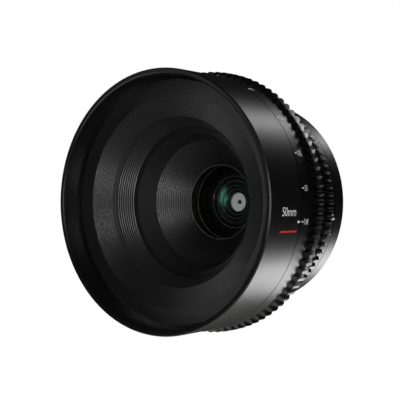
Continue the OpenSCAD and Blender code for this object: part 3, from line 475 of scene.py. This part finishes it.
def tick_tree():
    """Thin bars, one on each point of a carrier, turned to face outward. They can taper to the rear."""
    tree, given = new_tree("scale_ticks", {
        "Tick length": "NodeSocketFloat", "Tick width": "NodeSocketFloat",
        "Paint height": "NodeSocketFloat", "Taper": "NodeSocketFloat", "Finish": "NodeSocketMaterial"})
    size = add(tree, "ShaderNodeCombineXYZ",
               links={"X": given.outputs["Paint height"], "Y": given.outputs["Tick length"],
                      "Z": given.outputs["Tick width"]})
    bar = add(tree, "GeometryNodeMeshCube", links={"Size": size.outputs["Vector"]})
    place = add(tree, "GeometryNodeInputPosition")
    parts = add(tree, "ShaderNodeSeparateXYZ", links={"Vector": place.outputs["Position"]})
    at_tip = add(tree, "ShaderNodeMath", settings={"operation": "GREATER_THAN"}, values={1: 0.0},
                 links={0: parts.outputs["Y"]})
    narrowed = add(tree, "ShaderNodeMath", settings={"operation": "MULTIPLY"},
                   links={0: at_tip.outputs["Value"], 1: given.outputs["Taper"]})
    kept = add(tree, "ShaderNodeMath", settings={"operation": "SUBTRACT"}, values={0: 1.0},
               links={1: narrowed.outputs["Value"]})
    width = add(tree, "ShaderNodeMath", settings={"operation": "MULTIPLY"},
                links={0: parts.outputs["Z"], 1: kept.outputs["Value"]})
    corner = add(tree, "ShaderNodeCombineXYZ",
                 links={"X": parts.outputs["X"], "Y": parts.outputs["Y"], "Z": width.outputs["Value"]})
    wedge = add(tree, "GeometryNodeSetPosition",
                links={"Geometry": bar.outputs["Mesh"], "Position": corner.outputs["Vector"]})
    angle = add(tree, "GeometryNodeInputNamedAttribute", settings={"data_type": "FLOAT"},
                values={"Name": "angle"})
    back = add(tree, "ShaderNodeMath", settings={"operation": "MULTIPLY"}, values={1: -1.0},
               links={0: angle.outputs["Attribute"]})
    turn = add(tree, "ShaderNodeCombineXYZ", links={"Y": back.outputs["Value"]})
    rotation = add(tree, "FunctionNodeEulerToRotation", links={"Euler": turn.outputs["Vector"]})
    placed = add(tree, "GeometryNodeInstanceOnPoints",
                 links={"Points": given.outputs["Geometry"], "Instance": wedge.outputs["Geometry"],
                        "Rotation": rotation.outputs["Rotation"]})
    end_tree(tree, given, placed.outputs["Instances"])
    return tree


TICKS = tick_tree()


def ticks(name, places, radius, length, width, body, material, taper=0.0):
    """Painted bars on a barrel, each at (depth, angle). A taper of 1 ends in a point to the rear."""
    carrier = bpy.data.meshes.new(name)
    carrier.from_pydata([on_barrel(radius, depth, angle) for depth, angle in places], [], [])
    turns = carrier.attributes.new("angle", "FLOAT", "POINT")
    for i, (_, angle) in enumerate(places):
        turns.data[i].value = math.radians(angle)
    mesh = grown(TICKS, carrier, {"Tick length": length, "Tick width": width, "Paint height": 2 * PAINT,
                                  "Taper": taper, "Finish": material})
    keep(name, mesh, body, material)


def bell_marks():
    """Focal length number, the index at the seam and a plain red accent, on the front bell."""
    number_depth = RIM_Y + 5.9 * MM
    number_angle = -3.8
    engraved_words("focal_length_number", [("50mm", number_depth, number_angle)], height=2.4 * MM,
                   stretch=0.84, radius=BELL_R, body="barrel")
    index_length = 1.3 * MM
    index_gap = 0.1 * MM
    index_depth = BELL_BACK_Y - index_gap - index_length / 2
    ticks("bell_index", [(index_depth, FOCUS_INDEX)], radius=BELL_R, length=index_length,
          width=0.75 * MM, body="barrel", material=WHITE_PAINT, taper=0.6)
    line_depth = RIM_Y + 10.0 * MM
    line_angle = -12.0
    ticks("bell_red_line", [(line_depth, line_angle)], radius=BELL_R, length=8.5 * MM,
          width=0.5 * MM, body="barrel", material=RED_PAINT)


def focus_marks():
    """Distance numbers and their ticks on the focus ring's band."""
    tick_length = 0.9 * MM
    tick_gap = 0.4 * MM
    tick_depth = FOCUS_FRONT_Y + tick_gap + tick_length / 2
    number_gap = 1.7 * MM
    number_depth = FOCUS_FRONT_Y + number_gap
    ticks("focus_ticks", [(tick_depth, FOCUS_INDEX + turn) for _, turn in FOCUS_SCALE], radius=BELL_R,
          length=tick_length, width=0.3 * MM, body="focus", material=WHITE_PAINT)
    engraved_words("focus_numbers", [(text, number_depth, FOCUS_INDEX + turn) for text, turn in FOCUS_SCALE],
                   height=1.6 * MM, stretch=0.58, radius=BELL_R, body="focus")


def iris_marks():
    """Aperture numbers and dots on the iris ring's band, and the index on the rear barrel."""
    step = IRIS_TURN / (len(IRIS_SCALE) - 1)
    dot = 0.4 * MM
    dot_depth = IRIS_BACK_Y - 0.6 * MM
    ticks("iris_dots", [(dot_depth, IRIS_INDEX - step * i) for i in range(len(IRIS_SCALE))],
          radius=REAR_R, length=dot, width=dot, body="iris", material=WHITE_PAINT)
    number_depth = IRIS_BACK_Y - 1.5 * MM
    number_lead = 1.2
    engraved_words("iris_numbers", [(text, number_depth, IRIS_INDEX - step * i + number_lead)
                                    for i, text in enumerate(IRIS_SCALE)],
                   height=1.1 * MM, stretch=0.7, radius=REAR_R, body="iris", around=True)
    index_length = 1.9 * MM
    index_gap = 0.3 * MM
    index_depth = REAR_FRONT_Y + index_gap + index_length / 2
    ticks("iris_index", [(index_depth, IRIS_INDEX)], radius=REAR_R, length=index_length,
          width=0.6 * MM, body="barrel", material=WHITE_PAINT)


bell_marks()
focus_marks()
iris_marks()

# Camera, fitted to the photograph: an 84.6 mm lens on a 36 mm frame, aimed level
CAMERA_PLACE = Vector((164.9, -257.3, 0.6)) * MM
CAMERA_AIM = Vector((-0.5913, 0.8065, 0.0))
CAMERA_LENS = 84.6
CAMERA_FRAME = 36.0
CAMERA_NEAREST = 0.01
LENS_MIDDLE = Vector((0, -27, 0)) * MM
OPTICAL_AXIS = Vector((0, 1, 0))
UPRIGHT = Vector((0, 0, 1))

camera_data = bpy.data.cameras.new("camera")
camera_data.lens = CAMERA_LENS
camera_data.sensor_width = CAMERA_FRAME
camera_data.clip_start = CAMERA_NEAREST
camera = bpy.data.objects.new("camera", camera_data)
camera.location = CAMERA_PLACE
camera.rotation_euler = CAMERA_AIM.to_track_quat("-Z", "Y").to_euler()
bpy.context.scene.collection.objects.link(camera)
bpy.context.scene.camera = camera


def softbox(name, place, facing, along, width, length, watts, mirrored=True):
    """Rectangular studio light at a place. It faces a point, and its length runs along a direction."""
    lamp = bpy.data.lights.new(name, "AREA")
    lamp.shape = "RECTANGLE"
    lamp.size = width
    lamp.size_y = length
    lamp.energy = watts
    light = bpy.data.objects.new(name, lamp)
    back = (Vector(place) - Vector(facing)).normalized()
    side = along.cross(back).normalized()
    turn = Matrix((side, back.cross(side), back)).transposed()
    light.matrix_world = Matrix.Translation(place) @ turn.to_4x4()
    light.visible_camera = False
    light.visible_glossy = mirrored
    light.visible_transmission = mirrored
    bpy.context.scene.collection.objects.link(light)
    return light


def flag(light, names):
    """Keeps a light on the named nodes and pieces alone, as flags do in a studio."""
    group = bpy.data.collections.new(light.name + "_flag")
    for name in names:
        group.objects.link(nodes.get(name) or bpy.data.objects[name])
    light.light_linking.receiver_collection = group


# Lights, in metres: strips lie at one distance from the axis, boxes at one distance from the lens
STRIP_R = 0.46
STRIP_BEHIND = 0.80
STRIP_BEFORE = -0.80
STRIP_LENGTH = 0.80
SIDE_DISTANCE = 0.60
SIDE_SIZE = 0.15
RIM_SIZE = 0.3

# Outer rings, steel at the mount, and what the well shows
OUTER = ["front_bell", "focus_ring", "iris_ring", "rear_barrel"]
MOUNT = ["bayonet_ring", "mount_screws", "flange_shim"]
WELL = ["front_baffle_grooves", "cone_baffle_grooves", "painted_edge_highlights", "optical_barrel", "front_retainer",
        "front_cell", "lens_spacer", "stop_baffle"]


def strip(name, angle, depth, width, watts):
    """Long light parallel to the optical axis, so that the barrel mirrors it at half the angle."""
    turn = math.radians(angle)
    place = Vector((STRIP_R * math.cos(turn), depth, STRIP_R * math.sin(turn)))
    return softbox(name, place, (0, depth, 0), OPTICAL_AXIS, width, STRIP_LENGTH, watts)


def box_at(name, direction, size, watts):
    """Square softbox in a direction from the middle of the lens."""
    place = LENS_MIDDLE + Vector(direction).normalized() * SIDE_DISTANCE
    return softbox(name, place, LENS_MIDDLE, UPRIGHT, size, size, watts)


def rib_box(name, direction, watts):
    """Softbox that rakes over the ribs of the well from one side. It is kept off the outer rings."""
    flag(box_at(name, direction, SIDE_SIZE, watts), WELL)


def glint(name, direction, size, watts, glass):
    """Small lamp that one glass mirrors, as a coloured patch on each of its faces."""
    flag(box_at(name, direction, size, watts), [glass])


# The barrel mirrors two strips, one below and one above, with darkness between them
strip("strip_below", angle=-73, depth=STRIP_BEHIND, width=0.32, watts=4.3)
strip("strip_above", angle=75, depth=STRIP_BEHIND, width=0.11, watts=1.25)
# Two boxes on each side light the sides of the well, which stays dark above and below
rib_box("right_upper", direction=(0.77, -0.55, 0.35), watts=2.4)
rib_box("right_lower", direction=(0.77, -0.55, -0.35), watts=3.0)
rib_box("left_upper", direction=(-0.917, -0.353, 0.204), watts=1.3)
rib_box("left_lower", direction=(-0.885, -0.39, -0.257), watts=1.0)
# The front rim mirrors a dim box in its bevel on the right
flag(box_at("rim_right", direction=(0.84, -0.54, 0.0), size=RIM_SIZE, watts=0.8), ["front_bell"])
# Patches on the glass: a green one beside the iris, a magenta dot next to it and a dim green one below
glint("glint_green", direction=(-0.654, -0.755, 0.057), size=0.08, watts=0.28, glass="second_element")
glint("glint_magenta", direction=(-0.69, -0.719, 0.082), size=0.025, watts=0.06, glass="front_element")
glint("glint_lower", direction=(-0.67, -0.73, -0.12), size=0.07, watts=0.08, glass="second_element")
# Lights for the sides away from the camera: two strips for the barrel and a box for the mount
flag(strip("strip_left_above", angle=140, depth=STRIP_BEFORE, width=0.16, watts=1.1), OUTER)
flag(strip("strip_left_below", angle=-115, depth=STRIP_BEFORE, width=0.16, watts=1.0), OUTER)
flag(box_at("mount_box", direction=(-0.3, 0.88, 0.35), size=RIM_SIZE, watts=1.0), MOUNT)
# Soft light for dull surfaces only: one in front for the iris, one on the right for the scales
softbox("soft_front", place=(0.05, -0.75, 0.10), facing=LENS_MIDDLE, along=UPRIGHT, width=0.3,
        length=0.3, watts=2.6, mirrored=False)
softbox("soft_right", place=(0.65, -0.25, 0.35), facing=LENS_MIDDLE, along=UPRIGHT, width=0.4,
        length=0.4, watts=3.5, mirrored=False)


def flat_piece(name, corners, material):
    """One flat face that belongs to the studio."""
    mesh = bpy.data.meshes.new(name)
    mesh.from_pydata(corners, [], [list(range(len(corners)))])
    mesh.materials.append(material)
    piece = bpy.data.objects.new(name, mesh)
    bpy.context.scene.collection.objects.link(piece)


# The floor lies below the picture, and is small enough for the barrel not to mirror it
FLOOR_R = 0.42
FLOOR_Z = -0.35
FLOOR_SIDES = 48
# A white card stands behind the lens on the left: distance from the camera, left and right edge, half height
CARD_DISTANCE = 1.1
CARD_LEFT = -0.27
CARD_RIGHT = -0.04
CARD_HALF_HEIGHT = 0.25


def studio():
    """Dim room that looks white to the camera, a white card behind the lens and a pale floor below."""
    world = bpy.data.worlds.new("studio")
    bpy.context.scene.world = world
    world.use_nodes = True
    tree = world.node_tree
    tree.nodes.clear()
    path = add(tree, "ShaderNodeLightPath")
    dim = add(tree, "ShaderNodeBackground", values={"Color": linear("#ffffff"), "Strength": 0.01})
    white = add(tree, "ShaderNodeBackground", values={"Color": linear("#ffffff"), "Strength": 1.0})
    mix = add(tree, "ShaderNodeMixShader",
              links={0: path.outputs["Is Camera Ray"], 1: dim.outputs["Background"],
                     2: white.outputs["Background"]})
    add(tree, "ShaderNodeOutputWorld", links={"Surface": mix.outputs["Shader"]})

    paper, tree, output = new_material("white_paper")
    path = add(tree, "ShaderNodeLightPath")
    mirrored = add(tree, "ShaderNodeMath", settings={"operation": "MAXIMUM"},
                   links={0: path.outputs["Is Camera Ray"], 1: path.outputs["Is Glossy Ray"]})
    seen = add(tree, "ShaderNodeMath", settings={"operation": "MAXIMUM"},
               links={0: mirrored.outputs["Value"], 1: path.outputs["Is Transmission Ray"]})
    fibre = add(tree, "ShaderNodeBsdfDiffuse", values={"Color": linear("#f2f2f0")})
    white = add(tree, "ShaderNodeEmission", values={"Color": linear("#ffffff"), "Strength": 1.0})
    mix = add(tree, "ShaderNodeMixShader",
              links={0: seen.outputs["Value"], 1: fibre.outputs["BSDF"], 2: white.outputs["Emission"]})
    tree.links.new(mix.outputs["Shader"], output.inputs["Surface"])
    middle = CAMERA_PLACE + CAMERA_AIM * CARD_DISTANCE
    right = CAMERA_AIM.cross(UPRIGHT)
    up = UPRIGHT * CARD_HALF_HEIGHT
    flat_piece("backdrop", [middle + right * CARD_LEFT - up, middle + right * CARD_RIGHT - up,
                            middle + right * CARD_RIGHT + up, middle + right * CARD_LEFT + up], paper)

    pale, tree, output = new_material("pale_floor_board")
    board = add(tree, "ShaderNodeBsdfDiffuse", values={"Color": linear("#ecebe8")})
    tree.links.new(board.outputs["BSDF"], output.inputs["Surface"])
    flat_piece("floor", [Vector((FLOOR_R * math.cos(turn), FLOOR_R * math.sin(turn), FLOOR_Z))
                         for turn in (2 * math.pi * i / FLOOR_SIDES for i in range(FLOOR_SIDES))], pale)


studio()
floor_light = softbox("floor_light", place=(0, 0, 1.0), facing=(0, 0, 0), along=OPTICAL_AXIS, width=0.6,
                      length=0.6, watts=8.0, mirrored=False)
flag(floor_light, ["floor"])

bpy.context.scene.view_settings.view_transform = "Standard"
